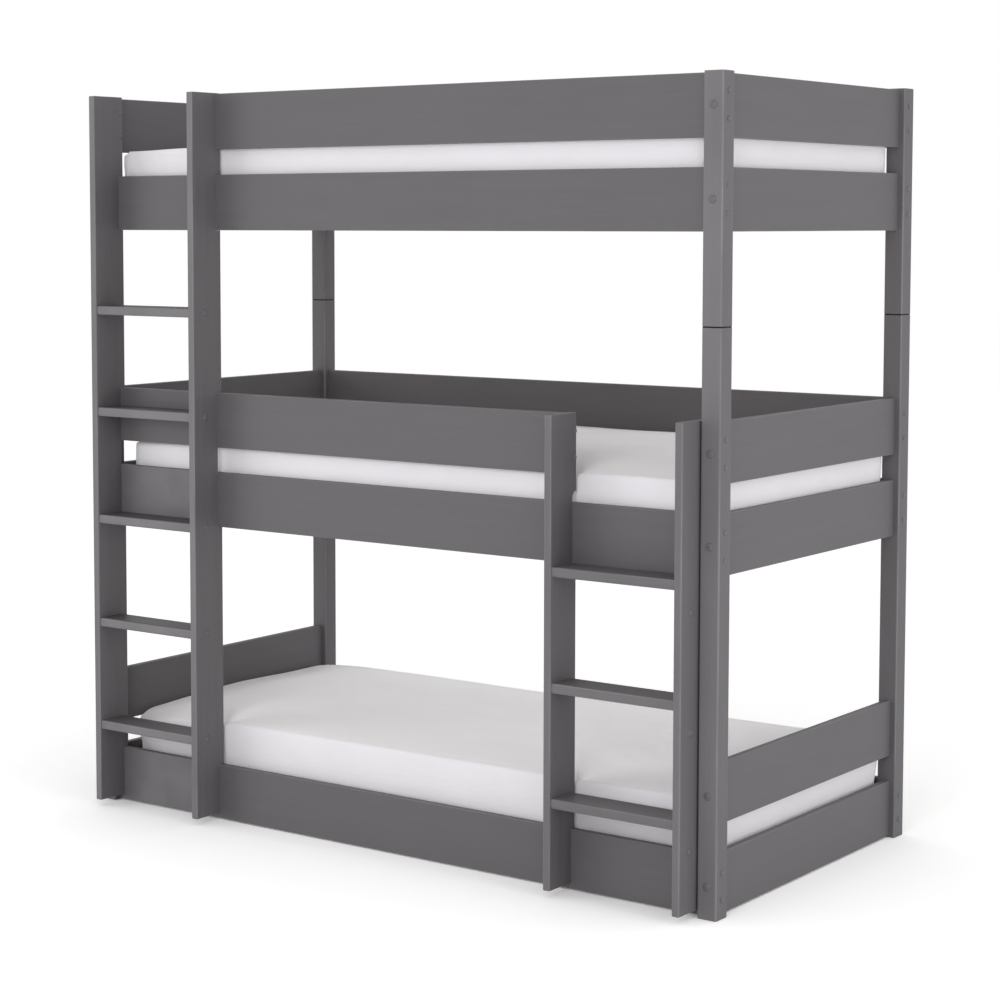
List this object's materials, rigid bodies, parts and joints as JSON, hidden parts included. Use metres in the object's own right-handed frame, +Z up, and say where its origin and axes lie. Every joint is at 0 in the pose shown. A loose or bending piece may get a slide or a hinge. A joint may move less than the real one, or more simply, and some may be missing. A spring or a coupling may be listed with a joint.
{
  "type": "bunk bed",
  "caption": "Painted wooden bunk bed with stacked tiers, board rails and guards, a long and a short ladder at the front, and mattresses on slat bases.",
  "frame": {"origin": "on the floor, in the middle of the outline over posts, ladders and bolt heads", "axes": "+X along the bed towards the short ladder's end, +Y towards the back, away from the ladders, +Z up"},
  "size_m": [1.9856, 1.0582, 1.955],
  "materials": {
    "painted_wood": "satin grey paint over pine",
    "bare_wood": "planed bare pine",
    "steel": "plain zinc-plated steel",
    "mattress_fabric": "matt white woven cover"
  },
  "bodies": {
    "bed_frame": {"post_front_left_lower": "painted_wood", "post_front_left_upper": "painted_wood", "post_dowel_front_left": "steel", "post_front_right_lower": "painted_wood", "post_front_right_upper": "painted_wood", "post_dowel_front_right": "steel", "post_back_left_lower": "painted_wood", "post_back_left_upper": "painted_wood", "post_dowel_back_left": "steel", "post_back_right_lower": "painted_wood", "post_back_right_upper": "painted_wood", "post_dowel_back_right": "steel", "rail_bottom_front": "painted_wood", "ledger_bottom_front": "bare_wood", "rail_bottom_back": "painted_wood", "ledger_bottom_back": "bare_wood", "end_rail_bottom_left": "painted_wood", "end_guard_bottom_left": "painted_wood", "end_rail_bottom_right": "painted_wood", "end_guard_bottom_right": "painted_wood", "slat_base_bottom": "bare_wood", "rail_middle_front": "painted_wood", "ledger_middle_front": "bare_wood", "rail_middle_back": "painted_wood", "ledger_middle_back": "bare_wood", "end_rail_middle_left": "painted_wood", "end_guard_middle_left": "painted_wood", "end_rail_middle_right": "painted_wood", "end_guard_middle_right": "painted_wood", "slat_base_middle": "bare_wood", "rail_top_front": "painted_wood", "ledger_top_front": "bare_wood", "rail_top_back": "painted_wood", "ledger_top_back": "bare_wood", "end_rail_top_left": "painted_wood", "end_guard_top_left": "painted_wood", "end_rail_top_right": "painted_wood", "end_guard_top_right": "painted_wood", "slat_base_top": "bare_wood", "guard_middle_front": "painted_wood", "guard_middle_back": "painted_wood", "guard_top_front": "painted_wood", "guard_top_back": "painted_wood", "long_ladder_stile_left": "painted_wood", "long_ladder_stile_right": "painted_wood", "short_ladder_stile_left": "painted_wood", "short_ladder_stile_right": "painted_wood", "long_ladder_tread_1": "painted_wood", "long_ladder_tread_2": "painted_wood", "long_ladder_tread_3": "painted_wood", "long_ladder_tread_4": "painted_wood", "long_ladder_tread_5": "painted_wood", "short_ladder_tread_1": "painted_wood", "short_ladder_tread_2": "painted_wood", "short_ladder_tread_3": "painted_wood"},
    "mattress_bottom_body": {"mattress_bottom": "mattress_fabric"},
    "mattress_middle_body": {"mattress_middle": "mattress_fabric"},
    "mattress_top_body": {"mattress_top": "mattress_fabric"}
  },
  "joints": [
    {"name": "mattress_bottom_lift", "type": "slide", "parent": "bed_frame", "child": "mattress_bottom_body", "axis": [0, 0, 1], "range_m": [0, 0.06]},
    {"name": "mattress_middle_lift", "type": "slide", "parent": "bed_frame", "child": "mattress_middle_body", "axis": [0, 0, 1], "range_m": [0, 0.3]},
    {"name": "mattress_top_lift", "type": "slide", "parent": "bed_frame", "child": "mattress_top_body", "axis": [0, 0, 1], "range_m": [0, 0.3]}
  ]
}
